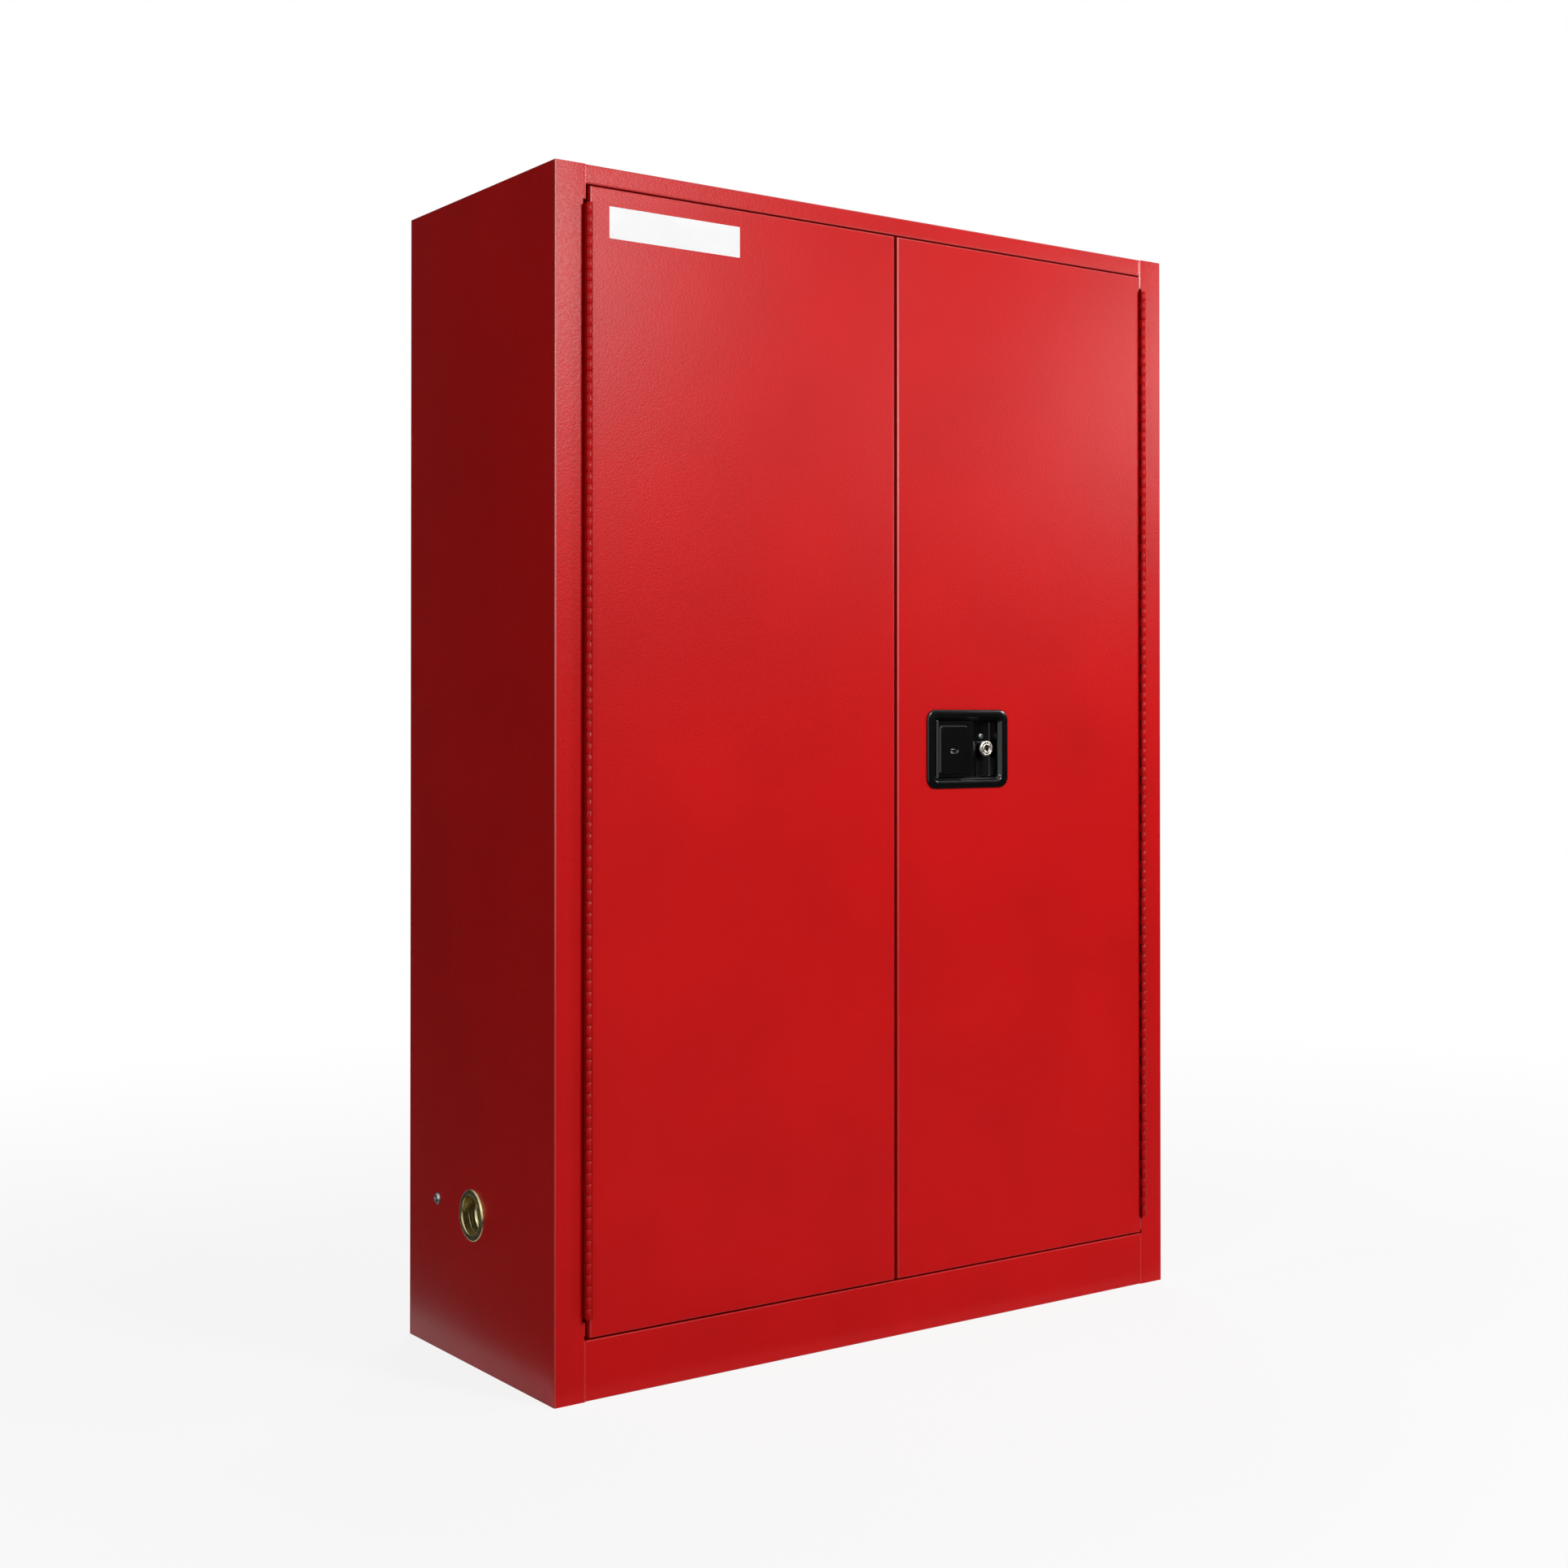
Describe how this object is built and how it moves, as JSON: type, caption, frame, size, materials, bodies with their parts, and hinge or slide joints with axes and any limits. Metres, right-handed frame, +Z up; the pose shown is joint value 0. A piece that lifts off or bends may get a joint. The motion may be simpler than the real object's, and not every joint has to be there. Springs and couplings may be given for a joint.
{
  "type": "combustible storage cabinet",
  "caption": "Double-wall steel storage cabinet for combustible liquids, with two hinged doors, a recessed paddle latch with key lock, shelves, a sump and vents.",
  "frame": {"origin": "bottom centre of the cabinet body, on the surface it stands on", "axes": "+X to the right seen from the front, +Y to the back, +Z up"},
  "size_m": [1.1014, 0.4697, 1.65],
  "materials": {
    "red_powder_coat": "semi-gloss fine texture",
    "galvanised": "galvanised",
    "zinc_plate": "zinc plated",
    "brass": "machined",
    "black_coat": "satin black",
    "nickel": "satin nickel"
  },
  "bodies": {
    "cabinet": {"left_side_panel": "red_powder_coat", "right_side_panel": "red_powder_coat", "back_panel": "red_powder_coat", "top_panel": "red_powder_coat", "top_door_stop": "red_powder_coat", "base_rail": "red_powder_coat", "bottom_panel": "red_powder_coat", "inner_liner": "red_powder_coat", "inner_ceiling": "red_powder_coat", "sump_tray": "red_powder_coat", "left_jamb": "red_powder_coat", "right_jamb": "red_powder_coat", "left_foot_channel": "red_powder_coat", "right_foot_channel": "red_powder_coat", "left_hinge_frame_leaf": "red_powder_coat", "right_hinge_frame_leaf": "red_powder_coat", "left_front_standard": "zinc_plate", "left_back_standard": "zinc_plate", "right_front_standard": "zinc_plate", "right_back_standard": "zinc_plate", "left_lower_rail": "zinc_plate", "right_lower_rail": "zinc_plate", "left_upper_rail": "zinc_plate", "right_upper_rail": "zinc_plate", "left_hinge_pin": "zinc_plate", "right_hinge_pin": "zinc_plate", "earthing_screw": "zinc_plate", "earthing_nut": "zinc_plate", "left_flame_screen": "zinc_plate", "right_flame_screen": "zinc_plate", "left_vent_fitting": "brass", "right_vent_fitting": "brass", "left_vent_ring": "brass", "right_vent_ring": "brass"},
    "left_door": {"left_door_skin": "red_powder_coat", "left_door_liner": "red_powder_coat", "left_hinge_door_leaf": "red_powder_coat", "centre_keeper": "zinc_plate"},
    "right_door": {"right_door_skin": "red_powder_coat", "right_door_liner": "red_powder_coat", "right_hinge_door_leaf": "red_powder_coat", "latch_cover": "red_powder_coat", "latch_dish": "black_coat", "paddle_pin": "zinc_plate", "lock_housing": "nickel", "lock_nut": "zinc_plate", "dish_screw": "zinc_plate"},
    "paddle": {"paddle": "black_coat"},
    "rotor": {"rotor": "zinc_plate"},
    "top_rod": {"top_rod": "zinc_plate"},
    "bottom_rod": {"bottom_rod": "zinc_plate"},
    "centre_bolt": {"centre_bolt": "zinc_plate"},
    "lock_plug": {"lock_plug": "nickel"},
    "lower_shelf": {"lower_shelf": "galvanised"},
    "upper_shelf": {"upper_shelf": "galvanised"},
    "left_front_foot": {"left_front_foot": "zinc_plate"},
    "left_back_foot": {"left_back_foot": "zinc_plate"},
    "right_front_foot": {"right_front_foot": "zinc_plate"},
    "right_back_foot": {"right_back_foot": "zinc_plate"}
  },
  "joints": [
    {"name": "left_door_swing", "type": "hinge", "parent": "cabinet", "child": "left_door", "pos_m": [-0.5002, -0.237, 0.85], "axis": [0, 0, -1], "range_deg": [0, 175]},
    {"name": "right_door_swing", "type": "hinge", "parent": "cabinet", "child": "right_door", "pos_m": [0.5002, -0.237, 0.85], "axis": [0, 0, 1], "range_deg": [0, 175]},
    {"name": "paddle_pull", "type": "hinge", "parent": "right_door", "child": "paddle", "pos_m": [0.0905, -0.226, 0.8635], "axis": [0, 0, -1], "range_deg": [0, 40], "stiffness_Nm_per_rad": 0.8, "springref_deg": -28.65},
    {"name": "rotor_turn", "type": "hinge", "parent": "right_door", "child": "rotor", "pos_m": [0.1422, -0.2069, 0.8635], "axis": [0, 1, 0], "range_deg": [0, 40.5]},
    {"name": "top_rod_slide", "type": "slide", "parent": "right_door", "child": "top_rod", "axis": [0, 0, -1], "range_m": [0, 0.0166]},
    {"name": "bottom_rod_slide", "type": "slide", "parent": "right_door", "child": "bottom_rod", "axis": [0, 0, 1], "range_m": [0, 0.0166]},
    {"name": "centre_bolt_slide", "type": "slide", "parent": "right_door", "child": "centre_bolt", "axis": [1, 0, 0], "range_m": [0, 0.0152]},
    {"name": "key_turn", "type": "hinge", "parent": "right_door", "child": "lock_plug", "pos_m": [0.1844, -0.2, 0.8635], "axis": [0, 1, 0], "range_deg": [0, 90]},
    {"name": "lower_shelf_lift", "type": "slide", "parent": "cabinet", "child": "lower_shelf", "axis": [0, 0, 1], "range_m": [0, 0.06]},
    {"name": "upper_shelf_lift", "type": "slide", "parent": "cabinet", "child": "upper_shelf", "axis": [0, 0, 1], "range_m": [0, 0.06]},
    {"name": "left_front_foot_turn_down", "type": "slide", "parent": "cabinet", "child": "left_front_foot", "axis": [0, 0, -1], "range_m": [0, 0.02]},
    {"name": "left_back_foot_turn_down", "type": "slide", "parent": "cabinet", "child": "left_back_foot", "axis": [0, 0, -1], "range_m": [0, 0.02]},
    {"name": "right_front_foot_turn_down", "type": "slide", "parent": "cabinet", "child": "right_front_foot", "axis": [0, 0, -1], "range_m": [0, 0.02]},
    {"name": "right_back_foot_turn_down", "type": "slide", "parent": "cabinet", "child": "right_back_foot", "axis": [0, 0, -1], "range_m": [0, 0.02]}
  ],
  "couplings": [
    {"joint": "rotor_turn", "follows": "paddle_pull", "ratio": 1},
    {"joint": "top_rod_slide", "follows": "paddle_pull", "m_per_rad": 0.023516},
    {"joint": "bottom_rod_slide", "follows": "paddle_pull", "m_per_rad": 0.023516},
    {"joint": "centre_bolt_slide", "follows": "paddle_pull", "m_per_rad": 0.021556}
  ]
}
